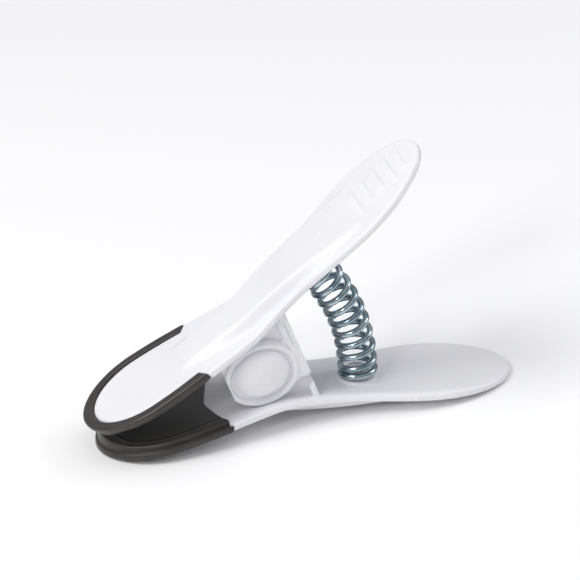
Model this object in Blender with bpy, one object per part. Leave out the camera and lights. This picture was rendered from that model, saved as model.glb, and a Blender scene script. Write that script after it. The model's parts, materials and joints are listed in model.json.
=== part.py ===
"""Spring bag clip: two paddle-shaped plastic arms, a soft grip moulded round each jaw,
and an arched coil spring between the handles.

Metres, +Z up.  X runs along the clip, jaws at -X and handles at +X, and Y is across it.
The clip lies on its lower arm, as on a table: the origin is the middle of the bounding box's
bottom.  Every arm shape is written in the arm's own frame: the pivot axis is the origin, x runs
towards the handle tip and z points from the arm towards the other arm.  The upper arm is the
same frame turned over and opened about the pivot.
"""
import math

import bmesh
import bpy
from mathutils import Matrix, Vector

# ---------------------------------------------------------------- driving sizes
JAW_LENGTH = 0.0334            # pivot axis to jaw tip
HANDLE_LENGTH = 0.0566         # pivot axis to handle tip
JAW_HALF_WIDTH = 0.0127
WAIST_HALF_WIDTH = 0.0090
WAIST_X = 0.0160               # narrowest place of the arm
HANDLE_HALF_WIDTH = 0.0119
JAW_END = 0.0142               # length of the half-ellipse that ends the jaw
HANDLE_END = 0.0180            # and the handle
PIVOT_HEIGHT = 0.00655         # pivot axis above the handle's inner face
OPEN_ANGLE = math.radians(45.9)    # between the two handles, jaws closed
BEND_START = 0.0078            # the jaws bend outward ahead of this place
BEND_LENGTH = 0.0060
PLATE = 0.00175                # thickness of the arm's edge
PANEL = 0.0018                 # thickness of the arm inside the grip
SWELL = 0.0026                 # the raised back of the arm, over the pivot
SWELL_FROM = -0.0115
SWELL_TO = 0.0390
SWELL_SIDE = 0.0022            # plan width of the raised back's sloping sides
CREASE_JAW = 0.0039            # half-width of the raised back by the jaw
CREASE_HANDLE = 0.0072         # and by the handle
SPOON = 0.0009                 # hollow of the inner face
EDGE_ROUND = 0.00035

GRIP_BAND = 0.0023             # width of the soft band round the panel
GRIP_BACK = 0.00205            # its height on the arm's back
GRIP_PAD = 0.0007              # soft pad on the jaw's inner face
GRIP_RIM = -0.0004             # top of the rim round the pad, from the inner face
GRIP_RIM_WIDTH = 0.0009
BITE = 0.0020                  # the pad rises this much at the jaw tip, to meet the other jaw
BITE_RUN = 0.0062              # length of that rise
GRIP_REAR = -0.0064            # where the grip ends, from the pivot
GRIP_HOLLOW = 0.0040           # hollow of the grip's rear edge
GRIP_HOLLOW_RUN = 0.0100       # length over which the hollow fades

EAR_FRONT = -0.0074            # outer ear, along and across the line midway between the arms
EAR_REAR = 0.0096
EAR_LIFT = 0.00095             # lower end of its rear rib, above the pivot's height
EAR_PLATE = 0.0015
EAR_OUTER = 0.0072             # outer ear's outer face, from the middle plane
OVAL_LENGTH = 0.0075           # half-length of the raised oval's middle line
OVAL_LIFT = 0.0002             # lower end of the oval, likewise
OVAL_DROP = 0.0004
OVAL_RIM = 0.0013
OVAL_PROUD = 0.0007
DOME_HEIGHT = 0.0030
RIB = 0.0012
INNER_EAR_LIFT = 0.00075       # inner ear's round end, likewise
STUD_RADIUS = 0.0030
STUD_LENGTH = 0.0013

SPRING_X = 0.0230              # spring seat, from the pivot along the arm
SPRING_RADIUS = 0.0037         # to the middle of the wire
WIRE = 0.0014
COILS = 10.5
SEAT_STUB = 0.0022             # height of the post inside the spring

THUMB_RIBS = 5
THUMB_PITCH = 0.0032
THUMB_FIRST = 0.0042           # from the handle tip
THUMB_HALF_WIDTH = 0.0068
THUMB_PROUD = 0.0003

GAP = 0.0003                   # between pieces that touch
JAW_GAP = 0.0003               # between the closed jaws

# ---------------------------------------------------------------- sizes that follow
HALF_OPEN = OPEN_ANGLE / 2
EAR_INNER = EAR_OUTER - EAR_PLATE
EAR_TIP = EAR_LIFT - PIVOT_HEIGHT
OVAL_HEIGHT = PIVOT_HEIGHT - OVAL_LIFT
INNER_EAR_RADIUS = PIVOT_HEIGHT - INNER_EAR_LIFT
CORE_INSET = GRIP_BAND + GAP
STEP = 0.00005                 # run of an upright step in a slab
EMBED = 0.0013                 # how deep an ear or a seat is rooted in the arm
BITE_X = -JAW_LENGTH + 0.0015  # the jaws meet here


def ramp(x):
    """Distance that counts for the jaw's bend: nothing behind it, then a straight slope."""
    d = BEND_START - x
    if d <= 0:
        return 0.0
    if d < BEND_LENGTH:
        return d * d / (2 * BEND_LENGTH)
    return d - BEND_LENGTH / 2


BITE_DEPTH = -BITE_X * math.tan(HALF_OPEN)
JAW_SLOPE = (BITE_DEPTH - PIVOT_HEIGHT + BITE + JAW_GAP / 2) / ramp(BITE_X)


def face(x):
    """Height of the arm's inner reference face, below the pivot axis."""
    return -PIVOT_HEIGHT - JAW_SLOPE * ramp(x)


def smooth(t):
    t = min(max(t, 0.0), 1.0)
    return t * t * (3 - 2 * t)


def half_width(x):
    """Half-width of the arm between its two rounded ends."""
    jaw_x = -JAW_LENGTH + JAW_END
    handle_x = HANDLE_LENGTH - HANDLE_END
    if x < WAIST_X:
        t = smooth((x - jaw_x) / (WAIST_X - jaw_x))
        return JAW_HALF_WIDTH + (WAIST_HALF_WIDTH - JAW_HALF_WIDTH) * t
    t = smooth((x - WAIST_X) / (handle_x - WAIST_X))
    return WAIST_HALF_WIDTH + (HANDLE_HALF_WIDTH - WAIST_HALF_WIDTH) * t


def rear_hollow(share):
    """How far the grip's rear edge lies ahead of its corner, at a share of the half-width."""
    return GRIP_HOLLOW * (1 - share * share)


SHOULDER = GRIP_REAR + GAP     # the arm reaches its full outline here, behind the grip's corner
CORE_END = SHOULDER - rear_hollow(1 - CORE_INSET / half_width(SHOULDER))


def handle_half_width(x):
    """Half-width of the handle, its rounded end included."""
    t = (x - HANDLE_LENGTH + HANDLE_END) / HANDLE_END
    return half_width(min(x, HANDLE_LENGTH - HANDLE_END)) * math.sqrt(1 - max(t, 0.0) ** 2)


def crease(x):
    """Half-width of the raised back."""
    t = smooth((x - SWELL_FROM) / (SWELL_TO - SWELL_FROM))
    return CREASE_JAW + (CREASE_HANDLE - CREASE_JAW) * t


def swell(x):
    """Height of the raised back along the arm."""
    t = (x - SWELL_FROM) / (SWELL_TO - SWELL_FROM)
    if t <= 0 or t >= 1:
        return 0.0
    return SWELL * math.sin(math.pi * t ** 0.85)


def back_height(x, y):
    """Outer face of the arm."""
    base = PANEL if x < CORE_END + STEP / 2 else PLATE
    side = smooth((crease(x) + SWELL_SIDE - abs(y)) / SWELL_SIDE)
    return face(x) - base - swell(x) * side


def inner_height(x, y):
    """Inner face of the arm: a shallow spoon in the handle, flat under the grip's pad."""
    if x < CORE_END + STEP / 2:
        return face(x) - GAP
    reach = half_width(min(x, HANDLE_LENGTH - HANDLE_END)) - 0.0015
    across = max(0.0, 1 - (y / reach) ** 2)
    along = smooth((x - SHOULDER) / 0.012) * smooth((HANDLE_LENGTH - 0.002 - x) / 0.012)
    return face(x) - SPOON * across * along


# ---------------------------------------------------------------- mesh helpers
def rest_scene():
    for obj in list(bpy.data.objects):
        bpy.data.objects.remove(obj, do_unlink=True)


def material(name, colour, roughness, metallic=0.0):
    mat = bpy.data.materials.new(name)
    mat.use_nodes = True
    shader = mat.node_tree.nodes["Principled BSDF"]
    shader.inputs["Base Color"].default_value = (*colour, 1.0)
    shader.inputs["Roughness"].default_value = roughness
    shader.inputs["Metallic"].default_value = metallic
    return mat


def finish(name, bm, mat, parent):
    """Turn a bmesh into a named object on its parent."""
    bmesh.ops.remove_doubles(bm, verts=bm.verts, dist=1e-6)
    bmesh.ops.recalc_face_normals(bm, faces=bm.faces)
    mesh = bpy.data.meshes.new(name)
    bm.to_mesh(mesh)
    bm.free()
    mesh.shade_smooth()
    mesh.set_sharp_from_angle(angle=math.radians(35))
    obj = bpy.data.objects.new(name, mesh)
    bpy.context.scene.collection.objects.link(obj)
    if mat:
        mesh.materials.append(mat)
    obj.parent = parent
    return obj


def tool(name, bm, parent):
    """A hidden shape that a Boolean adds or cuts."""
    obj = finish(name, bm, None, parent)
    obj.hide_render = True
    obj.display_type = "WIRE"
    return obj


def boolean(target, other, operation):
    mod = target.modifiers.new(operation.lower(), "BOOLEAN")
    mod.operation = operation
    mod.solver = "EXACT"
    mod.object = other


def prism(points, y_low, y_high):
    """A shape drawn in the x-z plane, between two y planes."""
    bm = bmesh.new()
    low = [bm.verts.new((x, y_low, z)) for x, z in points]
    high = [bm.verts.new((x, y_high, z)) for x, z in points]
    bm.faces.new(low)
    bm.faces.new(high[::-1])
    count = len(points)
    for i in range(count):
        j = (i + 1) % count
        bm.faces.new((low[j], low[i], high[i], high[j]))
    return bm


def turned(profile, axis_at, segments=32):
    """A body turned about a line along +z through axis_at; profile is (radius, z) pairs."""
    bm = bmesh.new()
    rings = []
    for radius, z in profile:
        ring = []
        for i in range(segments):
            a = 2 * math.pi * i / segments
            ring.append(bm.verts.new(axis_at + Vector((radius * math.cos(a), radius * math.sin(a), z))))
        rings.append(ring)
    for low, high in zip(rings, rings[1:]):
        for i in range(segments):
            j = (i + 1) % segments
            bm.faces.new((low[i], low[j], high[j], high[i]))
    bm.faces.new(rings[0][::-1])
    bm.faces.new(rings[-1])
    return bm


def slab(rays, top, bottom, closed):
    """A plate on a fan of rays, each a list of (x, y) from the spine out to the outline.
    top and bottom give the height at a point from x, y and its level on the ray."""
    bm = bmesh.new()
    levels = len(rays[0])
    sheets = []
    for height in (top, bottom):
        sheet = []
        for ray in rays:
            sheet.append([bm.verts.new((x, y, height(x, y, k))) for k, (x, y) in enumerate(ray)])
        sheets.append(sheet)
    count = len(rays)
    last = count if closed else count - 1
    for i in range(last):
        j = (i + 1) % count
        for k in range(levels - 1):
            a, b = sheets[0][i], sheets[0][j]
            bm.faces.new((a[k], a[k + 1], b[k + 1], b[k]))
            a, b = sheets[1][i], sheets[1][j]
            bm.faces.new((a[k], b[k], b[k + 1], a[k + 1]))
        bm.faces.new((sheets[0][i][-1], sheets[1][i][-1], sheets[1][j][-1], sheets[0][j][-1]))
    if not closed:
        for i in (0, count - 1):
            for k in range(levels - 1):
                a, b = sheets[0][i], sheets[1][i]
                bm.faces.new((a[k], a[k + 1], b[k + 1], b[k]))
    bmesh.ops.triangulate(bm, faces=bm.faces)
    return bm


def jaw_cap(inset, steps):
    """Outline points from the jaw tip to the end of its half-ellipse."""
    points = []
    for i in range(steps + 1):
        a = math.pi / 2 * i / steps
        x = -JAW_LENGTH + JAW_END - (JAW_END - inset) * math.cos(a)
        points.append((x, (JAW_HALF_WIDTH - inset) * math.sin(a)))
    return points


def handle_cap(steps):
    points = []
    for i in range(steps + 1):
        a = math.pi / 2 * (1 - i / steps)
        x = HANDLE_LENGTH - HANDLE_END + HANDLE_END * math.cos(a)
        points.append((x, HANDLE_HALF_WIDTH * math.sin(a)))
    return points


def spread(first, last, step):
    count = max(2, math.ceil((last - first) / step))
    return [first + (last - first) * i / count for i in range(count + 1)]


def both_sides(half):
    """The half outline at +y, then back along -y."""
    other = [(x, -y) for x, y in half[::-1] if abs(y) > 1e-9]
    return half + other


# ---------------------------------------------------------------- arms
def arm_rays():
    """Rays over the whole arm: the core inside the grip, its shoulder, and the handle."""
    jaw_x = -JAW_LENGTH + JAW_END
    handle_x = HANDLE_LENGTH - HANDLE_END
    half = jaw_cap(CORE_INSET, 7)
    half += [(x, half_width(x) - CORE_INSET) for x in spread(jaw_x, CORE_END, 0.003)[1:]]
    half += [(x, half_width(x)) for x in spread(SHOULDER, handle_x, 0.003)]
    half += handle_cap(8)[1:]
    rays = []
    for x, y in both_sides(half):
        spine = min(max(x, jaw_x), handle_x)
        width = half_width(spine) - (CORE_INSET if x < CORE_END + STEP / 2 else 0)
        ridge = crease(spine)
        shares = (0.0, 0.5 * ridge, ridge, ridge + SWELL_SIDE / 2, ridge + SWELL_SIDE)
        fractions = [share / width for share in shares]
        fractions += [1 - EDGE_ROUND / width, 1.0]
        rays.append([(spine + (x - spine) * f, y * f) for f in fractions])
    return rays


def arm_slab():
    rays = arm_rays()
    rim = len(rays[0]) - 1

    def top(x, y, k):
        return inner_height(x, y) - (EDGE_ROUND if k == rim else 0)

    def bottom(x, y, k):
        return back_height(x, y) + (EDGE_ROUND if k == rim else 0)

    return slab(rays, top, bottom, closed=True)


def arm_point(u, v):
    """From the line midway between the arms (u along it, v towards this arm) to the arm's x, z."""
    c, s = math.cos(HALF_OPEN), math.sin(HALF_OPEN)
    return u * c + v * s, u * s - v * c


def root_v(u):
    """Where the line at u reaches into the arm."""
    low, high = 0.0, 4 * PIVOT_HEIGHT
    for _ in range(40):
        v = (low + high) / 2
        x, z = arm_point(u, v)
        if z > face(x) - EMBED:
            low = v
        else:
            high = v
    return low


def root_line(u_from, u_to, steps=8):
    """Points inside the arm from one u to another, along its inner face."""
    us = [u_from + (u_to - u_from) * i / steps for i in range(steps + 1)]
    return [(u, root_v(u)) for u in us]


def oval(u, grow):
    """Far side of the raised oval at u, grown outwards."""
    a = OVAL_LENGTH + grow
    b = OVAL_HEIGHT + grow
    return -OVAL_DROP - b * math.sqrt(max(0.0, 1 - (u / a) ** 2))


def ear_prism(points, side, y_low, y_high):
    low, high = sorted((side * y_low, side * y_high))
    return prism([arm_point(u, v) for u, v in points], low, high)


def circle(radius, segments=28):
    angles = [2 * math.pi * i / segments for i in range(segments)]
    return [(radius * math.cos(a), radius * math.sin(a)) for a in angles]


def oval_boss(side):
    """The raised oval rim with the dome inside it."""
    a = OVAL_LENGTH - OVAL_RIM / 2
    b = OVAL_HEIGHT - OVAL_RIM / 2
    levels = [(math.sin(t), 0.0, DOME_HEIGHT * math.cos(t)) for t in
              (math.pi / 2 * i / 5 for i in range(5))]
    levels += [(1.0, 0.0, 0.0), (1.0, STEP, OVAL_PROUD)]
    levels += [(1.0, OVAL_RIM, OVAL_PROUD), (1.0, OVAL_RIM + STEP, -EAR_PLATE / 2)]
    segments = 40
    bm = bmesh.new()
    rings = []
    for share, grow, height in levels[1:]:
        ring = []
        for i in range(segments):
            t = 2 * math.pi * i / segments
            u = (a * share + grow) * math.cos(t)
            v = (b * share + grow) * math.sin(t) - OVAL_DROP
            x, z = arm_point(u, v)
            ring.append(bm.verts.new((x, side * (EAR_OUTER + height), z)))
        rings.append(ring)
    x, z = arm_point(0, -OVAL_DROP)
    apex = bm.verts.new((x, side * (EAR_OUTER + DOME_HEIGHT), z))
    for i in range(segments):
        j = (i + 1) % segments
        bm.faces.new((apex, rings[0][i], rings[0][j]))
        for low, high in zip(rings, rings[1:]):
            bm.faces.new((low[i], high[i], high[j], low[j]))
    bm.faces.new(rings[-1])
    return bm


def outer_ear(side, parent):
    """Near-triangular cheek of the upper arm, with the blind pivot socket behind its dome."""
    outer = OVAL_RIM / 2
    us = spread(EAR_FRONT, 0.75 * OVAL_LENGTH, 0.0012)
    edge = [(EAR_FRONT, root_v(EAR_FRONT))]
    edge += [(u, oval(u, outer)) for u in us]
    edge += [(EAR_REAR - 2 * RIB, EAR_TIP + RIB / 4), (EAR_REAR - 1.3 * RIB, EAR_TIP)]
    edge += [(EAR_REAR - RIB / 3, EAR_TIP), (EAR_REAR, EAR_TIP + RIB / 3)]
    edge += root_line(EAR_REAR, EAR_FRONT)[:-1]
    ear = tool(f"ear_{side}", ear_prism(edge, side, EAR_INNER, EAR_OUTER), parent)
    rib_rear = EAR_REAR - STEP
    rib = [(EAR_REAR - RIB, EAR_TIP + RIB), (rib_rear, EAR_TIP + RIB)]
    rib += [(rib_rear, root_v(rib_rear) - STEP), (EAR_REAR - RIB, root_v(EAR_REAR - RIB) - STEP)]
    rib_mesh = ear_prism(rib, side, EAR_INNER + STEP, EAR_OUTER + OVAL_PROUD)
    rib_tool = tool(f"ear_rib_{side}", rib_mesh, parent)
    boss = tool(f"ear_boss_{side}", oval_boss(side), parent)
    front = [(EAR_FRONT - 0.003, -OVAL_HEIGHT), (EAR_FRONT, -OVAL_HEIGHT)]
    front += [(EAR_FRONT, 0.6 * OVAL_HEIGHT), (EAR_FRONT - 0.003, 0.6 * OVAL_HEIGHT)]
    trim = tool(f"ear_trim_{side}", ear_prism(front, side, 0.8 * EAR_INNER, 2 * EAR_OUTER), parent)
    right = EAR_REAR - 2 * RIB
    us = spread(0.34 * OVAL_LENGTH, 0.78 * OVAL_LENGTH, 0.0008)
    pocket = [(u, -oval(u, outer + OVAL_RIM / 4) - 2 * OVAL_DROP) for u in us]
    pocket += [(right, root_v(right) - EMBED - PLATE / 2)]
    pocket += [(us[0], root_v(us[0]) - EMBED - PLATE / 4)]
    pocket_mesh = ear_prism(pocket, side, EAR_INNER + EAR_PLATE / 2, 2 * EAR_OUTER)
    recess = tool(f"ear_pocket_{side}", pocket_mesh, parent)
    socket = circle(STUD_RADIUS + GAP)
    socket_mesh = ear_prism(socket, side, EAR_INNER - GAP, EAR_INNER + STUD_LENGTH)
    hole = tool(f"ear_socket_{side}", socket_mesh, parent)
    boolean(ear, rib_tool, "UNION")
    boolean(ear, boss, "UNION")
    boolean(ear, trim, "DIFFERENCE")
    boolean(ear, recess, "DIFFERENCE")
    boolean(ear, hole, "DIFFERENCE")
    return ear


def inner_ear(side, parent):
    """Cheek of the lower arm, inside the outer ear, with the pivot stud and a foot behind."""
    outer_face = EAR_INNER - GAP
    rear = EAR_REAR - GAP
    turn = [math.pi + math.pi * 0.75 * i / 10 for i in range(11)]
    front = -INNER_EAR_RADIUS
    edge = [(front, root_v(front))]
    edge += [(INNER_EAR_RADIUS * math.cos(a), INNER_EAR_RADIUS * math.sin(a)) for a in turn]
    edge += [(rear - RIB, -RIB), (rear, 0.0)]
    edge += root_line(rear, front)[:-1]
    ear = tool(f"inner_ear_{side}", ear_prism(edge, side, outer_face - EAR_PLATE, outer_face), parent)
    stud_shape = circle(STUD_RADIUS)
    stud = tool(f"stud_{side}", ear_prism(stud_shape, side, outer_face - EAR_PLATE / 2,
                                          outer_face + STUD_LENGTH), parent)
    sweep = math.hypot(EAR_REAR, EAR_TIP) + 2 * GAP
    us = spread(rear - 1.3 * RIB, rear, 0.0006)
    foot_shape = [(u, math.sqrt(sweep ** 2 - u ** 2)) for u in us]
    foot_shape += [(rear, root_v(rear)), (us[0], root_v(us[0]))]
    foot = tool(f"foot_{side}", ear_prism(foot_shape, side, outer_face - EAR_PLATE / 2,
                                          EAR_OUTER + OVAL_PROUD), parent)
    boolean(ear, stud, "UNION")
    boolean(ear, foot, "UNION")
    return ear


def spring_seat(label, parent):
    """Flat seat with a post that keeps the spring's end in place."""
    base = face(SPRING_X)
    inside = SPRING_RADIUS - WIRE / 2 - GAP
    outside = SPRING_RADIUS + WIRE / 4
    profile = [(outside, base - EMBED), (outside, base), (inside, base)]
    profile += [(inside, base + SEAT_STUB / 2), (0.8 * inside, base + SEAT_STUB)]
    return tool(f"seat_{label}", turned(profile, Vector((SPRING_X, 0, 0))), parent)


def thumb_rib(label, index, parent):
    """One shallow step across the handle's back: upright towards the tip, sloping to nothing ahead."""
    tip_side = HANDLE_LENGTH - THUMB_FIRST - index * THUMB_PITCH
    half = min(THUMB_HALF_WIDTH, 0.8 * handle_half_width(tip_side))
    profile = [(0, PLATE / 3), (0, -THUMB_PROUD), (THUMB_PITCH / 6, -THUMB_PROUD)]
    profile += [(0.7 * THUMB_PITCH, PLATE / 6), (0.7 * THUMB_PITCH, PLATE / 3)]
    bm = bmesh.new()
    rows = []
    for y in spread(-half, half, 0.0017):
        row = []
        for ahead, lift in profile:
            x = tip_side - ahead
            row.append(bm.verts.new((x, y, back_height(x, y) + lift)))
        rows.append(row)
    count = len(profile)
    for row, after in zip(rows, rows[1:]):
        for k in range(count):
            j = (k + 1) % count
            bm.faces.new((row[k], row[j], after[j], after[k]))
    bm.faces.new(rows[0][::-1])
    bm.faces.new(rows[-1])
    return tool(f"thumb_rib_{label}_{index}", bm, parent)


def arm(name, ear_maker, parent, mat):
    body = finish(name, arm_slab(), mat, parent)
    for side in (-1, 1):
        boolean(body, ear_maker(side, parent), "UNION")
    boolean(body, spring_seat(name, parent), "UNION")
    for index in range(THUMB_RIBS):
        boolean(body, thumb_rib(name, index, parent), "UNION")
    return body


# ---------------------------------------------------------------- jaw grips
def grip_rays():
    """Rays from the pad's middle to the outline, from one rear end round the tip to the other."""
    jaw_x = -JAW_LENGTH + JAW_END
    half = jaw_cap(0, 9)
    half += [(x, half_width(x)) for x in spread(jaw_x, GRIP_REAR, 0.002)[1:]]
    outline = [(x, y) for x, y in half[::-1]] + [(x, -y) for x, y in half[1:]]
    rays = []
    for x, y in outline:
        spine = max(x, jaw_x)
        length = math.hypot(x - spine, y)
        fade = smooth(1 - (GRIP_REAR - x) / GRIP_HOLLOW_RUN)
        insets = (GRIP_BAND + STEP, GRIP_BAND, 1.3 * GRIP_RIM_WIDTH, GRIP_RIM_WIDTH, EDGE_ROUND, 0.0)
        fractions = [0.0, 0.45] + [1 - inset / length for inset in insets]
        ray = []
        for f in fractions:
            ray.append((spine + (x - spine) * f - rear_hollow(f) * fade, y * f))
        rays.append(ray)
    return rays


def bite(x):
    """Highest the grip may reach: the line midway between the jaws, less half their gap."""
    return x * math.tan(HALF_OPEN) - JAW_GAP / 2 / math.cos(HALF_OPEN)


def jaw_grip(name, parent, mat):
    rays = grip_rays()
    rim = len(rays[0]) - 1
    band, pad = rim - 4, rim - 3

    def top(x, y, k):
        rise = smooth(1 - (x + JAW_LENGTH) / BITE_RUN)
        low = GRIP_PAD if k <= pad else GRIP_RIM
        height = min(face(x) + low + (BITE - low) * rise, bite(x))
        return height - (EDGE_ROUND if k == rim else 0)

    def bottom(x, y, k):
        if k < band:
            return face(x)
        return face(x) - GRIP_BACK + (EDGE_ROUND if k == rim else 0)

    return finish(name, slab(rays, top, bottom, closed=False), mat, parent)


# ---------------------------------------------------------------- spring
def spring_line():
    """Centre, radius and half-angle of the spring's arc, which stands square on both seats."""
    z = face(SPRING_X)
    u = SPRING_X * math.cos(HALF_OPEN) + z * math.sin(HALF_OPEN)
    v = SPRING_X * math.sin(HALF_OPEN) - z * math.cos(HALF_OPEN)
    radius = v / math.sin(HALF_OPEN)
    return u - radius * math.cos(HALF_OPEN), radius, HALF_OPEN - (GAP + WIRE / 2) / radius


def coil_place(turn):
    """Share of the spring's length reached after some turns: the end turns lie close."""
    closed = 1.2 * WIRE
    _, radius, reach = spring_line()
    length = 2 * reach * radius
    pitch = (length - 2 * closed) / (COILS - 2)
    if turn < 1:
        run = closed * turn
    elif turn > COILS - 1:
        run = length - closed * (COILS - turn)
    else:
        run = closed + pitch * (turn - 1)
    return run / length


def coil_spring(name, parent, mat):
    """Round wire wound right-handed along the arc, as one tube with flat ends."""
    per_turn, sides = 18, 6
    centre, radius, reach = spring_line()
    steps = round(COILS * per_turn)
    path = []
    for i in range(steps + 1):
        turn = i / per_turn
        a = reach * (1 - 2 * coil_place(turn))
        spin = 2 * math.pi * turn
        out = radius - SPRING_RADIUS * math.cos(spin)
        x, z = arm_point(centre + out * math.cos(a), out * math.sin(a))
        path.append(Vector((x, -SPRING_RADIUS * math.sin(spin), z)))
    bm = bmesh.new()
    rings = []
    for i, point in enumerate(path):
        ahead = path[min(i + 1, steps)] - path[max(i - 1, 0)]
        ahead.normalize()
        turn = i / per_turn
        a = reach * (1 - 2 * coil_place(turn))
        x, z = arm_point(centre + radius * math.cos(a), radius * math.sin(a))
        across = (point - Vector((x, 0, z))).normalized()
        along = ahead.cross(across).normalized()
        across = along.cross(ahead)
        ring = []
        for k in range(sides):
            t = 2 * math.pi * k / sides
            ring.append(bm.verts.new(point + WIRE / 2 * (across * math.cos(t) + along * math.sin(t))))
        rings.append(ring)
    for low, high in zip(rings, rings[1:]):
        for k in range(sides):
            j = (k + 1) % sides
            bm.faces.new((low[k], low[j], high[j], high[k]))
    bm.faces.new(rings[0][::-1])
    bm.faces.new(rings[-1])
    return finish(name, bm, mat, parent)


# ---------------------------------------------------------------- placing
def resting_pose():
    """Tilt that lays the lower arm's jaw end and handle end on the table, and the pivot's height."""
    jaw_x = -JAW_LENGTH + EDGE_ROUND
    jaw_z = face(jaw_x) - GRIP_BACK
    ribs_x = HANDLE_LENGTH - THUMB_FIRST
    ribs_z = face(ribs_x) - PLATE - THUMB_PROUD
    tip_x = HANDLE_LENGTH - EDGE_ROUND
    tip_z = face(tip_x) - PLATE
    tilt = min(math.atan2(z - jaw_z, x - jaw_x) for x, z in ((tip_x, tip_z), (ribs_x, ribs_z)))
    return tilt, jaw_x * math.sin(tilt) - jaw_z * math.cos(tilt)


def empty(name, parent=None):
    obj = bpy.data.objects.new(name, None)
    obj.empty_display_size = 0.01
    bpy.context.scene.collection.objects.link(obj)
    obj.parent = parent
    return obj


def build():
    rest_scene()
    white = material("white_plastic", (0.86, 0.86, 0.89), 0.35)
    soft = material("soft_grip", (0.045, 0.042, 0.038), 0.6)
    zinc = material("zinc_plated_steel", (0.55, 0.62, 0.66), 0.3, 1.0)

    tilt, height = resting_pose()
    pivot = empty("pivot_axis")
    upper = empty("upper_arm_frame", pivot)
    upper.matrix_local = Matrix.Rotation(-OPEN_ANGLE, 4, "Y") @ Matrix.Rotation(math.pi, 4, "X")

    arm("lower_arm", inner_ear, pivot, white)
    jaw_grip("lower_jaw_grip", pivot, soft)
    coil_spring("spring", pivot, zinc)
    arm("upper_arm", outer_ear, upper, white)
    jaw_grip("upper_jaw_grip", upper, soft)

    pivot.matrix_world = Matrix.Translation((0, 0, height)) @ Matrix.Rotation(tilt, 4, "Y")
    bpy.context.view_layer.update()
    ends = []
    for name in ("lower_arm", "upper_jaw_grip", "lower_jaw_grip"):
        obj = bpy.data.objects[name]
        ends += [obj.matrix_world @ vert.co for vert in obj.data.vertices]
    middle = (min(p.x for p in ends) + max(p.x for p in ends)) / 2
    pivot.location.x = -middle
    pivot.location.z -= min(p.z for p in ends)


build()
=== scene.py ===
"""A spring bag clip in white plastic, with soft dark jaw grips and an arched coil spring."""
import json
import math

import bmesh
import bpy
from mathutils import Matrix, Vector


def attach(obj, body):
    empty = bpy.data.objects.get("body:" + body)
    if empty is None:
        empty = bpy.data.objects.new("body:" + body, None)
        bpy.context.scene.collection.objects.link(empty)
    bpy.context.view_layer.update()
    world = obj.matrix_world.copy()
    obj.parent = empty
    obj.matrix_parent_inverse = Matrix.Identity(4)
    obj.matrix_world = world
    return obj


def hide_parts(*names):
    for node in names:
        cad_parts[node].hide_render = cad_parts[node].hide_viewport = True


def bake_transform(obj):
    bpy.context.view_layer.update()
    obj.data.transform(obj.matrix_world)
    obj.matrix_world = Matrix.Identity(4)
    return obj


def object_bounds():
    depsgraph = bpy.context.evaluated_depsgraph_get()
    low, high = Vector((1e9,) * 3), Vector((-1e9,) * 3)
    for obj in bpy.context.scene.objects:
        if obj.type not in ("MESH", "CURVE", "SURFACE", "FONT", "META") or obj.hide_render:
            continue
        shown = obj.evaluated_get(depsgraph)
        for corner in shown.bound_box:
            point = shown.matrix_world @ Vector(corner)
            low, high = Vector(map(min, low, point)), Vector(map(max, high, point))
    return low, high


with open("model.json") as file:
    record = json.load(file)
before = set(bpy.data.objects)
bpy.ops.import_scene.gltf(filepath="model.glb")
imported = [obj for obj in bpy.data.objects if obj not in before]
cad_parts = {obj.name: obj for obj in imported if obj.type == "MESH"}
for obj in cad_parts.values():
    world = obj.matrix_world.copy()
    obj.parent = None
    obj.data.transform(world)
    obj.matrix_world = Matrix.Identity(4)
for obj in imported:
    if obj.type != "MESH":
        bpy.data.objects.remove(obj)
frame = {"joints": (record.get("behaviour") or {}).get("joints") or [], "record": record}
cad_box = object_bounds()

# ------------------------------------------------------------------ the two arms' places
# Both arms are drawn in one frame of their own, in millimetres: the pivot axis is the origin, x runs
# to the handle tip, z points to the other arm. The lower arm lies on the table on its jaw and handle
# tips; the upper arm is the same frame turned over and swung open about the pivot.
HALF_OPEN = math.radians(22.95)
pivot = Vector(frame["joints"][0]["pos_m"])
panel_axis = {m["name"]: Vector(m["axis"]) for m in frame["record"]["mounts"]}
lower_slope = math.atan2(panel_axis["lower_panel"].x, -panel_axis["lower_panel"].z)
upper_slope = math.atan2(-panel_axis["upper_panel"].x, panel_axis["upper_panel"].z)
tilt = HALF_OPEN - (lower_slope + upper_slope) / 2
BEND = math.tan(HALF_OPEN - (upper_slope - lower_slope) / 2)
LOWER = Matrix.Translation(pivot) @ Matrix.Rotation(tilt, 4, "Y") @ Matrix.Scale(0.001, 4)
UPPER = LOWER @ Matrix.Rotation(-2 * HALF_OPEN, 4, "Y") @ Matrix.Rotation(math.pi, 4, "X")

# ------------------------------------------------------------------ arm plates
# Each arm is one injection moulding in white polypropylene: a paddle 1.75 mm thick at its edge, with
# a raised back over the pivot, a shallow spoon inside the handle and a flat panel at the jaw that
# the soft grip is moulded round. Ribs for the thumb cross the back near the handle tip.
JAW_TIP, HANDLE_TIP = -33.4, 56.6
JAW_HALF, WAIST_HALF, HANDLE_HALF = 12.7, 9.0, 11.9
JAW_CAP, WAIST_X, HANDLE_CAP = 14.2, 16.0, 18.0
INNER_FACE = -6.55
BEND_X, BEND_RUN = 7.8, 6.0
PLATE, PANEL = 1.75, 1.85
SWELL, SWELL_FROM, SWELL_TO, SWELL_SIDE = 2.6, -11.5, 39.0, 2.2
CREASE_JAW, CREASE_HANDLE = 3.9, 7.2
SPOON, SPOON_RUN = 0.9, 12.0
EDGE_RUN = 0.75
BAND = 2.3
SEAM = 0.07
JAW_STEPS, PANEL_STEPS, SIDE_STEPS, HANDLE_STEPS = 26, 16, 64, 36
ACROSS_STEPS, EDGE_STEPS, EDGE_POWER = 34, 10, 0.7
GRIP_REAR, GRIP_HOLLOW, HOLLOW_RUN = -6.4, 4.0, 10.0


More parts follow.
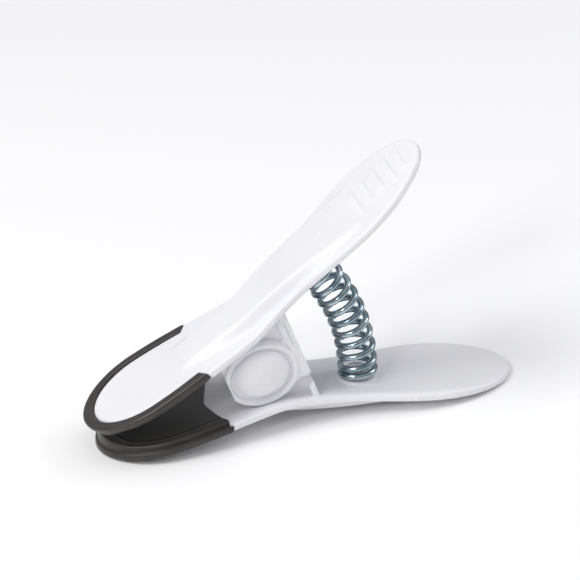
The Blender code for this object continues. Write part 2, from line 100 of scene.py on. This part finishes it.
def smooth(t):
    t = min(max(t, 0.0), 1.0)
    return t * t * (3 - 2 * t)


def face(x):
    """Inner face of the arm, with the jaw bent outward ahead of the pivot."""
    d = BEND_X - x
    ramp = 0.0 if d <= 0 else d * d / (2 * BEND_RUN) if d < BEND_RUN else d - BEND_RUN / 2
    return INNER_FACE - BEND * ramp


def half_width(x):
    """Half-width between the arm's rounded ends."""
    jaw_x, handle_x = JAW_TIP + JAW_CAP, HANDLE_TIP - HANDLE_CAP
    if x < WAIST_X:
        return JAW_HALF + (WAIST_HALF - JAW_HALF) * smooth((x - jaw_x) / (WAIST_X - jaw_x))
    return WAIST_HALF + (HANDLE_HALF - WAIST_HALF) * smooth((x - WAIST_X) / (handle_x - WAIST_X))


def hollow(share):
    """How far the grip's rear edge lies ahead of its corner, at a share of the half-width."""
    return GRIP_HOLLOW * (1 - share * share)


SHOULDER = GRIP_REAR + SEAM
CORE_END = SHOULDER - hollow(1 - (BAND + SEAM) / half_width(SHOULDER))


def back(x, y):
    """Outer face: the plate, and the raised back with its sloping sides."""
    t = (x - SWELL_FROM) / (SWELL_TO - SWELL_FROM)
    rise = SWELL * math.sin(math.pi * t ** 0.85) if 0 < t < 1 else 0.0
    crease = CREASE_JAW + (CREASE_HANDLE - CREASE_JAW) * smooth(t)
    side = smooth((crease + SWELL_SIDE - abs(y)) / SWELL_SIDE)
    plate = PANEL + (PLATE - PANEL) * smooth((x - CORE_END) / 2)
    return face(x) - plate - rise * side


def inner(x, y):
    """Inner face: a shallow spoon in the handle, just under the grip's pad at the jaw."""
    if x < CORE_END:
        return face(x) - SEAM
    reach = half_width(min(x, HANDLE_TIP - HANDLE_CAP)) - 1.5
    across = max(0.0, 1 - (y / reach) ** 2)
    along = smooth((x - SHOULDER) / SPOON_RUN) * smooth((HANDLE_TIP - 2 - x) / SPOON_RUN)
    return face(x) - SPOON * across * along


def steps(first, last, count):
    return [first + (last - first) * i / count for i in range(count + 1)]


def cap(centre, length, width, count):
    """Quarter of an ellipse, from the end of the arm to its side."""
    angles = steps(0, math.pi / 2, count)
    return [(centre + length * math.cos(a), width * math.sin(a)) for a in angles]


def skin(loops, closed):
    """Closed surface over a row of equal loops; its ends are filled unless the row closes."""
    bm = bmesh.new()
    rings = [[bm.verts.new(p) for p in loop] for loop in loops]
    count = len(rings[0])
    pairs = list(zip(rings, rings[1:]))
    if closed:
        pairs.append((rings[-1], rings[0]))
    for low, high in pairs:
        for k in range(count):
            j = (k + 1) % count
            bm.faces.new((low[k], high[k], high[j], low[j]))
    if not closed:
        bm.faces.new(rings[0])
        bm.faces.new(rings[-1][::-1])
    bmesh.ops.remove_doubles(bm, verts=bm.verts, dist=1e-4)
    bmesh.ops.recalc_face_normals(bm, faces=bm.faces)
    return bm


def arm_plate():
    jaw_x, handle_x = JAW_TIP + JAW_CAP, HANDLE_TIP - HANDLE_CAP
    half = cap(jaw_x, -JAW_CAP, JAW_HALF, JAW_STEPS)
    half += [(x, half_width(x)) for x in steps(jaw_x, CORE_END, PANEL_STEPS)[1:]]
    cut = len(half)
    half += [(x, half_width(x)) for x in steps(SHOULDER, handle_x, SIDE_STEPS)]
    half += cap(handle_x, HANDLE_CAP, HANDLE_HALF, HANDLE_STEPS)[-2::-1]
    loops = []
    for index, (x, y) in enumerate(half):
        spine = min(max(x, jaw_x), handle_x)
        length = math.hypot(x - spine, y)
        inset = BAND + SEAM if index < cut else 0.0
        reach = 1 - inset / length
        if index == cut - 1:
            reach = 1 - (BAND + SEAM) / half_width(SHOULDER)
        tip = (spine + (x - spine) * reach, y * reach)
        span = length * reach - EDGE_RUN
        loop = []
        for share in steps(0, 1, ACROSS_STEPS):
            f = share * span / (length * reach)
            px, py = spine + (tip[0] - spine) * f, tip[1] * f
            loop.append((px, py, inner(px, py)))
        px, py, high = loop[-1]
        low = back(px, py)
        for a in steps(0, math.pi, EDGE_STEPS)[1:-1]:
            out = math.sin(a) ** EDGE_POWER
            lift = math.copysign(abs(math.cos(a)) ** EDGE_POWER, math.cos(a))
            loop.append((px + (tip[0] - px) * out, py + (tip[1] - py) * out,
                         (high + low) / 2 + (high - low) / 2 * lift))
        for share in steps(1, 0, ACROSS_STEPS):
            f = share * span / (length * reach)
            px, py = spine + (tip[0] - spine) * f, tip[1] * f
            loop.append((px, py, back(px, py)))
        loops.append(loop)
    loops += [[(x, -y, z) for x, y, z in loop] for loop in loops[-2:0:-1]]
    return skin(loops, closed=True)


THUMB_RIBS, THUMB_FIRST, THUMB_PITCH = 5, 4.2, 3.2
THUMB_HALF, THUMB_PROUD = 6.8, 0.38


def thumb_rib(index):
    """One shallow step: upright towards the tip, sloping away ahead, fading out at its two ends."""
    tip_side = HANDLE_TIP - THUMB_FIRST - index * THUMB_PITCH
    cap_share = max(0.0, (tip_side - HANDLE_TIP + HANDLE_CAP) / HANDLE_CAP)
    half = min(THUMB_HALF, 0.8 * HANDLE_HALF * math.sqrt(1 - cap_share ** 2))
    loops = []
    for y in steps(-half, half, 26):
        proud = THUMB_PROUD * smooth(1.6 * (1 - abs(y) / half))
        profile = [(-0.05, 0.6), (0.0, -proud), (0.5, -proud)]
        profile += [(0.8 * THUMB_PITCH, 0.1), (0.9 * THUMB_PITCH, 0.6)]
        loops.append([(tip_side - dx, y, back(tip_side - dx, y) + dz) for dx, dz in profile])
    return skin(loops, closed=False)


def turned(profile, x, y, z, sides=40):
    """Round solid about an upright axis at x, y: the profile is (radius, height) from bottom to top."""
    loops = []
    for radius, height in profile:
        angles = steps(0, 2 * math.pi, sides)[:-1]
        loops.append([(x + radius * math.cos(a), y + radius * math.sin(a), z + height) for a in angles])
    return skin(loops, closed=False)


SEAT_X = 23.0
SEAT_RADIUS, POST_RADIUS, POST_HEIGHT = 4.05, 2.7, 2.2
GATE_X, GATE_RADIUS, GATE_PROUD = 28.6, 0.85, 0.16
NOTCH_X = 33.0


def arm_trim():
    """What is moulded onto both arms alike: spring seat and post, gate mark, parting notch, ribs."""
    seat = face(SEAT_X)
    post = [(SEAT_RADIUS, -1.4), (SEAT_RADIUS, 0), (POST_RADIUS, 0.01), (POST_RADIUS, 1.3)]
    post += [(0.85 * POST_RADIUS, POST_HEIGHT - 0.3), (0.6 * POST_RADIUS, POST_HEIGHT)]
    solids = [turned(post, SEAT_X, 0, seat)]
    gate = back(GATE_X, 0)
    solids.append(turned([(GATE_RADIUS, -GATE_PROUD), (GATE_RADIUS, 0.6)], GATE_X, 0, gate))
    notch = half_width(NOTCH_X)
    solids.append(turned([(0.5, -PLATE + 0.25), (0.5, -0.25)], NOTCH_X, -notch + 0.3, face(NOTCH_X), 16))
    solids += [thumb_rib(index) for index in range(THUMB_RIBS)]
    return solids


# ------------------------------------------------------------------ ears and pivot
# There is no pin. The upper arm's outer ears carry a raised oval with a dome, which is the outside
# of a blind socket; the lower arm's inner ears carry a round stud that snaps into it. Both pairs
# are moulded with their arms. Shapes here lie along u, the line midway between the arms, and v.
EAR_INNER, EAR_OUTER = 5.7, 7.2
EAR_FRONT, EAR_REAR, EAR_LOW = -7.4, 9.6, -5.6
OVAL_LONG, OVAL_HIGH, OVAL_DROP, OVAL_RIM, OVAL_PROUD = 7.5, 6.45, 0.5, 1.3, 0.7
DOME_LONG, DOME_HIGH, DOME_PROUD, DOME_LIFT = 6.2, 5.2, 3.0, 0.35
MARK_RADIUS, MARK_WIRE, MARK_PROUD = 1.3, 0.3, 0.05
REAR_RIB, RIB_GROOVE, RIB_GROOVE_DEPTH = 1.7, 0.55, 0.6
POCKET_DEPTH = 0.85
INNER_EAR_IN, INNER_EAR_OUT, INNER_EAR_RADIUS = 3.9, 5.4, 5.8
STUD_RADIUS, STUD_END, SOCKET_RADIUS, SOCKET_FLOOR = 3.0, 6.7, 3.3, 7.0
FOOT_RIB = 1.3


def arm_point(u, v):
    """From the line midway between the arms to an arm's own x, z; v points to that arm."""
    c, s = math.cos(HALF_OPEN), math.sin(HALF_OPEN)
    return u * c + v * s, u * s - v * c


def root(u):
    """v where the line at u is 1 mm inside the arm."""
    low, high = 0.0, 30.0
    for _ in range(30):
        v = (low + high) / 2
        x, z = arm_point(u, v)
        low, high = (v, high) if z > face(x) - 1.0 else (low, v)
    return low


def plate_of(points, side, y_from, y_to):
    """Flat solid with that outline in u, v, between two distances from the middle plane."""
    outline = [arm_point(u, v) for u, v in points]
    return skin([[(x, side * y, z) for x, z in outline] for y in (y_from, y_to)], closed=False)


def circle(radius, sides=40):
    return [(radius * math.cos(a), radius * math.sin(a)) for a in steps(0, 2 * math.pi, sides)[:-1]]


def oval(u, long, high):
    return high * math.sqrt(max(0.0, 1 - (u / long) ** 2))


def shaped(target, cuts):
    """The target with the cuts taken away."""
    objects = []
    for bm in [target] + cuts:
        mesh = bpy.data.meshes.new("cut")
        bm.to_mesh(mesh)
        bm.free()
        obj = bpy.data.objects.new("cut", mesh)
        bpy.context.scene.collection.objects.link(obj)
        objects.append(obj)
    for other in objects[1:]:
        modifier = objects[0].modifiers.new("cut", "BOOLEAN")
        modifier.operation = "DIFFERENCE"
        modifier.object = other
    bpy.context.view_layer.update()
    result = bmesh.new()
    result.from_object(objects[0], bpy.context.evaluated_depsgraph_get())
    for obj in objects:
        bpy.data.objects.remove(obj)
    return result


def oval_loops(side, levels, sides=96):
    """Loops of an oval boss: each level is (half-length, half-height, centre v, distance out)."""
    loops = []
    for long, high, lift, out in levels:
        loop = []
        for a in steps(0, 2 * math.pi, sides)[:-1]:
            x, z = arm_point(long * math.cos(a), lift - OVAL_DROP + high * math.sin(a))
            loop.append((x, side * out, z))
        loops.append(loop)
    return skin(loops, closed=False)


def outer_ear(side):
    rim = OVAL_RIM / 2
    long, high = OVAL_LONG + rim, OVAL_HIGH + rim
    outline = [(EAR_FRONT, root(EAR_FRONT))]
    outline += [(u, -OVAL_DROP - oval(u, long, high)) for u in steps(EAR_FRONT, 5.3, 26)]
    outline += [(7.3, -5.3), (8.2, EAR_LOW), (9.2, EAR_LOW), (EAR_REAR, EAR_LOW + 0.4)]
    outline += [(u, root(u)) for u in steps(EAR_REAR, EAR_FRONT, 10)[:-1]]
    plate = plate_of(outline, side, EAR_INNER, EAR_OUTER)
    pocket = [(u, -OVAL_DROP + oval(u, long + 0.35, high + 0.35)) for u in steps(2.2, 6.2, 10)]
    pocket += [(7.15, 4.6), (7.15, 9.4), (6.7, 9.9), (2.3, 7.9)]
    plate = shaped(plate, [plate_of(pocket, side, EAR_OUTER - POCKET_DEPTH, EAR_OUTER + 3),
                           plate_of(circle(SOCKET_RADIUS), side, EAR_INNER - 1, SOCKET_FLOOR)])
    rib_u = EAR_REAR - REAR_RIB
    rib = [(rib_u, -4.2), (rib_u + 0.5, -4.9), (EAR_REAR, -4.9)]
    rib += [(EAR_REAR, root(EAR_REAR)), (rib_u, root(rib_u))]
    groove_u = rib_u + 0.5
    groove = [(groove_u, 2.6), (groove_u + RIB_GROOVE, 2.6), (groove_u + RIB_GROOVE, 8.6), (groove_u, 8.6)]
    rib = shaped(plate_of(rib, side, EAR_INNER, EAR_OUTER + 0.45),
                 [plate_of(groove, side, EAR_OUTER + 0.45 - RIB_GROOVE_DEPTH, EAR_OUTER + 3)])
    ring = [(long, high, 0, SOCKET_FLOOR), (long, high, 0, EAR_OUTER + 0.5 * OVAL_PROUD)]
    ring += [(long - 0.3, high - 0.3, 0, EAR_OUTER + OVAL_PROUD)]
    ring += [(long - OVAL_RIM + 0.2, high - OVAL_RIM + 0.2, 0, EAR_OUTER + OVAL_PROUD)]
    ring += [(long - OVAL_RIM, high - OVAL_RIM, 0, EAR_OUTER), (1, 1, 0, EAR_OUTER)]
    dome = [(DOME_LONG, DOME_HIGH, DOME_LIFT, SOCKET_FLOOR)]
    for a in steps(0, 0.46 * math.pi, 12):
        share = math.cos(a)
        dome.append((DOME_LONG * share, DOME_HIGH * share, DOME_LIFT, EAR_OUTER + DOME_PROUD * math.sin(a)))
    front = [(EAR_FRONT - 4, -9), (EAR_FRONT, -9), (EAR_FRONT, 3.8), (EAR_FRONT - 4, 3.8)]
    boss = [shaped(oval_loops(side, levels), [plate_of(front, side, 3, 14)]) for levels in (ring, dome)]
    mark_out = EAR_OUTER + DOME_PROUD - MARK_WIRE + MARK_PROUD
    mark = []
    for a in steps(0, 2 * math.pi, 40)[:-1]:
        loop = []
        for b in steps(0, 2 * math.pi, 10)[:-1]:
            radius = MARK_RADIUS + MARK_WIRE * math.cos(b)
            x, z = arm_point(radius * math.cos(a), DOME_LIFT - OVAL_DROP + radius * math.sin(a))
            loop.append((x, side * (mark_out + MARK_WIRE * math.sin(b)), z))
        mark.append(loop)
    return [plate, rib] + boss + [skin(mark, closed=True)]


def inner_ear(side):
    rear = EAR_REAR - 0.3
    outline = [(-INNER_EAR_RADIUS, root(-INNER_EAR_RADIUS))]
    for a in steps(math.pi, 1.75 * math.pi, 24):
        outline.append((INNER_EAR_RADIUS * math.cos(a), INNER_EAR_RADIUS * math.sin(a)))
    outline += [(rear - 1.2, -1.2), (rear, 0.0)]
    outline += [(u, root(u)) for u in steps(rear, -INNER_EAR_RADIUS, 10)[:-1]]
    sweep = math.hypot(EAR_REAR, EAR_LOW) + 0.6
    foot = [(u, math.sqrt(sweep ** 2 - u ** 2)) for u in steps(rear - FOOT_RIB, rear, 4)]
    foot += [(rear, root(rear)), (rear - FOOT_RIB, root(rear - FOOT_RIB))]
    web = [(u, math.sqrt(sweep ** 2 - u ** 2)) for u in steps(5.0, rear - 0.4, 8)]
    web += [(rear - 0.4, root(rear - 0.4)), (5.0, root(5.0))]
    return [plate_of(outline, side, INNER_EAR_IN, INNER_EAR_OUT),
            plate_of(circle(STUD_RADIUS), side, INNER_EAR_OUT - 0.7, STUD_END),
            plate_of(foot, side, INNER_EAR_OUT - 0.5, EAR_OUTER + 0.6)]


def mould(name, solids, voxel, rounds, place):
    """Melt overlapping solids into one skin with softened corners, as a moulded piece has."""
    joined = bmesh.new()
    for bm in solids:
        mesh = bpy.data.meshes.new("solid")
        bm.to_mesh(mesh)
        bm.free()
        joined.from_mesh(mesh)
        bpy.data.meshes.remove(mesh)
    mesh = bpy.data.meshes.new(name)
    joined.to_mesh(mesh)
    joined.free()
    obj = bpy.data.objects.new(name, mesh)
    bpy.context.scene.collection.objects.link(obj)
    remesh = obj.modifiers.new("skin", "REMESH")
    remesh.mode = "VOXEL"
    remesh.voxel_size = voxel
    soften = obj.modifiers.new("corners", "SMOOTH")
    soften.factor = 0.5
    soften.iterations = rounds
    bpy.context.view_layer.update()
    final = bpy.data.meshes.new_from_object(obj.evaluated_get(bpy.context.evaluated_depsgraph_get()))
    obj.modifiers.clear()
    obj.data = final
    final.name = name
    final.transform(place)
    final.shade_smooth()
    return obj


ARM_VOXEL, ARM_ROUNDS = 0.17, 4
lower_solids = [arm_plate()] + arm_trim() + inner_ear(-1) + inner_ear(1)
upper_solids = [arm_plate()] + arm_trim() + outer_ear(-1) + outer_ear(1)
lower_arm = mould("lower_arm_moulding", lower_solids, ARM_VOXEL, ARM_ROUNDS, LOWER)
upper_arm = mould("upper_arm_moulding", upper_solids, ARM_VOXEL, ARM_ROUNDS, UPPER)


def linear(code):
    """sRGB hex to linear colour."""
    values = [int(code[i:i + 2], 16) / 255 for i in (1, 3, 5)]
    return [v / 12.92 if v <= 0.04045 else ((v + 0.055) / 1.055) ** 2.4 for v in values] + [1.0]


def node(tree, kind, settings=None, links=None):
    """Add a node: settings go to its properties or sockets, links join its sockets to others' outputs."""
    made = tree.nodes.new(kind)
    for key, value in (settings or {}).items():
        if isinstance(key, str) and hasattr(made, key):
            setattr(made, key, value)
        else:
            made.inputs[key].default_value = value
    for key, source in (links or {}).items():
        tree.links.new(source, made.inputs[key])
    return made


def new_material(name):
    material = bpy.data.materials.new(name)
    material.use_nodes = True
    material.node_tree.nodes.clear()
    return material, material.node_tree


def white_polypropylene():
    """Polypropylene from a lightly spark-eroded mould: semi-gloss, faintly translucent, cool white.
    The grain is 0.25 mm across and flow shades the colour over centimetres."""
    material, tree = new_material("white_polypropylene")
    place = node(tree, "ShaderNodeTexCoord").outputs["Object"]
    flow = node(tree, "ShaderNodeTexNoise", {"Scale": 45.0, "Detail": 2.0, "Roughness": 0.4},
                {"Vector": place})
    tone = node(tree, "ShaderNodeValToRGB", None, {"Fac": flow.outputs["Fac"]})
    tone.color_ramp.elements[0].position = 0.3
    tone.color_ramp.elements[0].color = linear("#e7e7eb")
    tone.color_ramp.elements[1].position = 0.7
    tone.color_ramp.elements[1].color = linear("#eeeef1")
    wear = node(tree, "ShaderNodeTexNoise", {"Scale": 260.0, "Detail": 3.0}, {"Vector": place})
    gloss = node(tree, "ShaderNodeMapRange", {"To Min": 0.28, "To Max": 0.41},
                 {"Value": wear.outputs["Fac"]})
    grain = node(tree, "ShaderNodeTexNoise", {"Scale": 4000.0, "Detail": 1.0}, {"Vector": place})
    bump = node(tree, "ShaderNodeBump", {"Strength": 0.12, "Distance": 0.00003},
                {"Height": grain.outputs["Fac"]})
    shader = node(tree, "ShaderNodeBsdfPrincipled",
                  {"IOR": 1.49, "Subsurface Weight": 0.25, "Subsurface Scale": 0.0015},
                  {"Base Color": tone.outputs["Color"], "Roughness": gloss.outputs["Result"],
                   "Normal": bump.outputs["Normal"]})
    shader.inputs["Subsurface Radius"].default_value = (1.0, 0.95, 0.9)
    node(tree, "ShaderNodeOutputMaterial", None, {"Surface": shader.outputs["BSDF"]})
    return material


white = white_polypropylene()
for arm, body, cad_node in ((lower_arm, "lower", "lower_arm"), (upper_arm, "upper", "upper_arm")):
    arm.data.materials.clear()
    arm.data.materials.append(white)
    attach(arm, body)
    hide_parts(cad_node)

# ------------------------------------------------------------------ jaw grips
# A warm dark grey thermoplastic rubber, moulded straight onto each jaw: a rounded band round the
# panel on the outside, a thin rim at the edge, and a smooth pad inside that rises at the tip so
# that the closed jaws bite there. A fine line where the mould parts runs along the band.
GRIP_BACK, GRIP_RIM, GRIP_PAD = 2.05, -0.4, 0.7
BITE, BITE_RUN, BITE_GAP = 2.0, 6.2, 0.15
BAND_LINE, BAND_LINE_WIDE, BAND_LINE_DEEP = 0.62, 0.3, 0.28


def rise(x):
    """How far the pad has climbed to its bite at the tip, as a share."""
    return smooth(1 - (x - JAW_TIP) / BITE_RUN)


def grip_section(x, length):
    """Section from the pad's middle over the rim and round the band.
    Each point is the distance in from the edge, the height and the share of the rise."""
    edge = 1.25 - 0.65 * rise(x)
    points = [(length - (length - 3.4) * k / 8, GRIP_PAD, 1) for k in range(9)]
    points += [(3.1, GRIP_PAD - 0.16, 1), (2.8, GRIP_PAD, 1), (edge + 0.55, GRIP_PAD, 1)]
    points += [(edge + 0.2, GRIP_PAD - 0.08, 1), (edge, GRIP_PAD - 0.35, 0.9), (edge - 0.12, -0.75, 0)]
    points += [(max(edge - 0.3, 0.42), -0.8, 0), (0.5, GRIP_RIM, 0), (0.25, GRIP_RIM, 0)]
    points += [(0.04, GRIP_RIM - 0.18, 0), (0, -0.75, 0), (0, -1.55, 0)]
    points += [(0.1, -1.85, 0), (0.4, -GRIP_BACK, 0)]
    line = BAND - BAND_LINE
    points += [(line - BAND_LINE_WIDE, -GRIP_BACK, 0)]
    points += [(line - BAND_LINE_WIDE / 2, -GRIP_BACK + BAND_LINE_DEEP, 0)]
    points += [(line, -GRIP_BACK, 0), (BAND - 0.08, -GRIP_BACK, 0)]
    points += [(BAND, -GRIP_BACK + 0.1, 0), (BAND, 0, 0)]
    points += [(BAND + (length - BAND) * k / 6, 0, 0) for k in range(1, 7)]
    return points


def jaw_grip():
    jaw_x = JAW_TIP + JAW_CAP
    half = cap(jaw_x, -JAW_CAP, JAW_HALF, 34)
    half += [(x, half_width(x)) for x in steps(jaw_x, GRIP_REAR, 26)[1:]]
    outline = half[::-1] + [(x, -y) for x, y in half[1:]]
    loops = []
    for x, y in outline:
        spine = max(x, jaw_x)
        length = math.hypot(x - spine, y)
        fade = smooth(1 - (GRIP_REAR - x) / HOLLOW_RUN)
        loop = []
        for inset, height, share in grip_section(x, length):
            f = 1 - inset / length
            px = spine + (x - spine) * f - hollow(f) * fade
            bite = px * math.tan(HALF_OPEN) - BITE_GAP / math.cos(HALF_OPEN)
            height += share * (BITE - GRIP_PAD) * rise(px)
            loop.append((px, y * f, min(face(px) + height, bite)))
        loops.append(loop)
    return skin(loops, closed=False)


GRIP_VOXEL, GRIP_ROUNDS = 0.16, 3
lower_grip = mould("lower_jaw_rubber", [jaw_grip()], GRIP_VOXEL, GRIP_ROUNDS, LOWER)
upper_grip = mould("upper_jaw_rubber", [jaw_grip()], GRIP_VOXEL, GRIP_ROUNDS, UPPER)


def soft_rubber():
    """Thermoplastic rubber: satin, with a fine matt grain 0.2 mm across and faint dusty scuffs."""
    material, tree = new_material("soft_grey_rubber")
    place = node(tree, "ShaderNodeTexCoord").outputs["Object"]
    scuff = node(tree, "ShaderNodeTexNoise", {"Scale": 170.0, "Detail": 4.0, "Roughness": 0.6},
                 {"Vector": place})
    tone = node(tree, "ShaderNodeValToRGB", None, {"Fac": scuff.outputs["Fac"]})
    tone.color_ramp.elements[0].position = 0.35
    tone.color_ramp.elements[0].color = linear("#2b2927")
    tone.color_ramp.elements[1].position = 0.75
    tone.color_ramp.elements[1].color = linear("#3b3834")
    gloss = node(tree, "ShaderNodeMapRange", {"To Min": 0.28, "To Max": 0.46},
                 {"Value": scuff.outputs["Fac"]})
    grain = node(tree, "ShaderNodeTexNoise", {"Scale": 5000.0, "Detail": 2.0}, {"Vector": place})
    bump = node(tree, "ShaderNodeBump", {"Strength": 0.25, "Distance": 0.00004},
                {"Height": grain.outputs["Fac"]})
    shader = node(tree, "ShaderNodeBsdfPrincipled",
                  {"IOR": 1.5, "Sheen Weight": 0.06, "Sheen Roughness": 0.5},
                  {"Base Color": tone.outputs["Color"], "Roughness": gloss.outputs["Result"],
                   "Normal": bump.outputs["Normal"]})
    node(tree, "ShaderNodeOutputMaterial", None, {"Surface": shader.outputs["BSDF"]})
    return material


rubber = soft_rubber()
for grip, body, cad_node in ((lower_grip, "lower", "lower_jaw_grip"),
                             (upper_grip, "upper", "upper_jaw_grip")):
    grip.data.materials.clear()
    grip.data.materials.append(rubber)
    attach(grip, body)
    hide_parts(cad_node)

# ------------------------------------------------------------------ spring
# A right-hand compression spring in 1.4 mm zinc-plated steel wire, closed at both ends. It is wound
# straight and bows outward, because its ends stand square on two seats at an angle to each other.
COIL_RADIUS, WIRE, COILS, CLOSED_PITCH = 3.7, 1.4, 10.5, 1.68
WIRE_GAP = 0.3
TURN_STEPS, WIRE_SIDES, TANGENT_RUN = 44, 16, 0.01
seat_u = SEAT_X * math.cos(HALF_OPEN) + face(SEAT_X) * math.sin(HALF_OPEN)
seat_v = SEAT_X * math.sin(HALF_OPEN) - face(SEAT_X) * math.cos(HALF_OPEN)
bow_radius = seat_v / math.sin(HALF_OPEN)
bow_centre = seat_u - bow_radius * math.cos(HALF_OPEN)
bow_reach = HALF_OPEN - (WIRE_GAP + WIRE / 2) / bow_radius
bow_length = 2 * bow_reach * bow_radius


def coil_share(turn):
    """Share of the spring's length after some turns: the first and last turn lie close."""
    pitch = (bow_length - 2 * CLOSED_PITCH) / (COILS - 2)
    if turn < 1:
        return CLOSED_PITCH * turn / bow_length
    if turn > COILS - 1:
        return 1 - CLOSED_PITCH * (COILS - turn) / bow_length
    return (CLOSED_PITCH + pitch * (turn - 1)) / bow_length


def coil_point(turn, radius):
    a = bow_reach * (1 - 2 * coil_share(turn))
    out = bow_radius - radius * math.cos(2 * math.pi * turn)
    x, z = arm_point(bow_centre + out * math.cos(a), out * math.sin(a))
    return Vector((x, -radius * math.sin(2 * math.pi * turn), z))


def coil_spring():
    loops = []
    for turn in steps(0, COILS, round(COILS * TURN_STEPS)):
        before = coil_point(max(turn - TANGENT_RUN, 0), COIL_RADIUS)
        after = coil_point(min(turn + TANGENT_RUN, COILS), COIL_RADIUS)
        ahead = (after - before).normalized()
        across = (coil_point(turn, COIL_RADIUS) - coil_point(turn, 0)).normalized()
        along = ahead.cross(across).normalized()
        across = along.cross(ahead)
        centre = coil_point(turn, COIL_RADIUS)
        loop = []
        for a in steps(0, 2 * math.pi, WIRE_SIDES)[:-1]:
            loop.append(centre + WIRE / 2 * (across * math.cos(a) + along * math.sin(a)))
        loops.append(loop)
    mesh = bpy.data.meshes.new("spring_wire")
    bm = skin(loops, closed=False)
    bm.to_mesh(mesh)
    bm.free()
    mesh.transform(LOWER)
    mesh.shade_smooth()
    mesh.set_sharp_from_angle(angle=math.radians(50))
    obj = bpy.data.objects.new("spring_wire", mesh)
    bpy.context.scene.collection.objects.link(obj)
    return obj


def zinc_plated_steel():
    """Drawn wire with bright zinc and a clear blue passivation: a hard glint, a cool tint that drifts
    over a few millimetres, and a fine even grain, drawn 0.1 mm across so that it shows."""
    material, tree = new_material("blue_zinc_on_steel_wire")
    place = node(tree, "ShaderNodeTexCoord").outputs["Object"]
    drift = node(tree, "ShaderNodeTexNoise", {"Scale": 320.0, "Detail": 2.0}, {"Vector": place})
    tone = node(tree, "ShaderNodeValToRGB", None, {"Fac": drift.outputs["Fac"]})
    tone.color_ramp.elements[0].position = 0.35
    tone.color_ramp.elements[0].color = linear("#8497a2")
    tone.color_ramp.elements[1].position = 0.65
    tone.color_ramp.elements[1].color = linear("#b4c2c9")
    marks = node(tree, "ShaderNodeTexNoise", {"Scale": 9000.0, "Detail": 1.0}, {"Vector": place})
    gloss = node(tree, "ShaderNodeMapRange", {"To Min": 0.08, "To Max": 0.22},
                 {"Value": marks.outputs["Fac"]})
    bump = node(tree, "ShaderNodeBump", {"Strength": 0.15, "Distance": 0.00002},
                {"Height": marks.outputs["Fac"]})
    shader = node(tree, "ShaderNodeBsdfPrincipled", {"Metallic": 1.0},
                  {"Base Color": tone.outputs["Color"], "Roughness": gloss.outputs["Result"],
                   "Normal": bump.outputs["Normal"]})
    node(tree, "ShaderNodeOutputMaterial", None, {"Surface": shader.outputs["BSDF"]})
    return material


spring = coil_spring()
spring.data.materials.append(zinc_plated_steel())
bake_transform(spring)
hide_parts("spring")

# ------------------------------------------------------------------ table, light and camera
# A plain white table under a big soft light from above and the left, with weaker ones from the
# front and the right, as for a catalogue picture.
scene = bpy.context.scene
scene.view_settings.view_transform = "Standard"
table_mesh = bpy.data.meshes.new("table_top")
table_bm = bmesh.new()
bmesh.ops.create_grid(table_bm, x_segments=1, y_segments=1, size=3.0)
table_bm.to_mesh(table_mesh)
table_bm.free()
table = bpy.data.objects.new("table_top", table_mesh)
scene.collection.objects.link(table)
table_paint, table_tree = new_material("matt_white_card")
card = node(table_tree, "ShaderNodeBsdfPrincipled", {"Base Color": linear("#fafafa"), "Roughness": 0.8})
node(table_tree, "ShaderNodeOutputMaterial", None, {"Surface": card.outputs["BSDF"]})
table.data.materials.append(table_paint)

world = bpy.data.worlds.new("studio")
scene.world = world
world.use_nodes = True
world_tree = world.node_tree
world_tree.nodes["Background"].inputs["Color"].default_value = linear("#fbfbfd")
direction = node(world_tree, "ShaderNodeTexCoord").outputs["Generated"]
height = node(world_tree, "ShaderNodeSeparateXYZ", None, {"Vector": direction}).outputs["Z"]
sky = node(world_tree, "ShaderNodeMapRange", {"From Max": 0.8, "To Min": 0.18, "To Max": 0.58},
           {"Value": height})
world_tree.links.new(sky.outputs["Result"], world_tree.nodes["Background"].inputs["Strength"])

clip_centre = Vector([(a + b) / 2 for a, b in zip(*cad_box)])


def soft_light(name, offset, size, power, colour):
    data = bpy.data.lights.new(name, "AREA")
    data.size = size
    data.energy = power
    data.color = linear(colour)[:3]
    obj = bpy.data.objects.new(name, data)
    scene.collection.objects.link(obj)
    obj.location = clip_centre + Vector(offset)
    obj.rotation_euler = (-Vector(offset)).to_track_quat("-Z", "Y").to_euler()


soft_light("key", (-0.5, -0.12, 0.68), 0.5, 4.2, "#ffffff")
soft_light("front", (-0.45, -0.55, 0.5), 0.16, 1.1, "#ffffff")
soft_light("right", (0.65, 0.05, 0.42), 0.3, 1.3, "#f8f9ff")

AZIMUTH, ELEVATION, ROLL = math.radians(-12.0), math.radians(27.6), math.radians(5.0)
DISTANCE, FIELD = 0.70, 0.121
look = Vector((math.sin(AZIMUTH) * math.cos(ELEVATION), -math.cos(AZIMUTH) * math.cos(ELEVATION),
               math.sin(ELEVATION)))
camera_data = bpy.data.cameras.new("camera")
camera = bpy.data.objects.new("camera", camera_data)
scene.collection.objects.link(camera)
camera_data.lens = camera_data.sensor_width * DISTANCE / FIELD
camera.location = clip_centre + look * DISTANCE
upright = look.to_track_quat("Z", "Y").to_matrix()
camera.rotation_euler = (upright @ Matrix.Rotation(-ROLL, 3, "Z")).to_euler()
scene.camera = camera
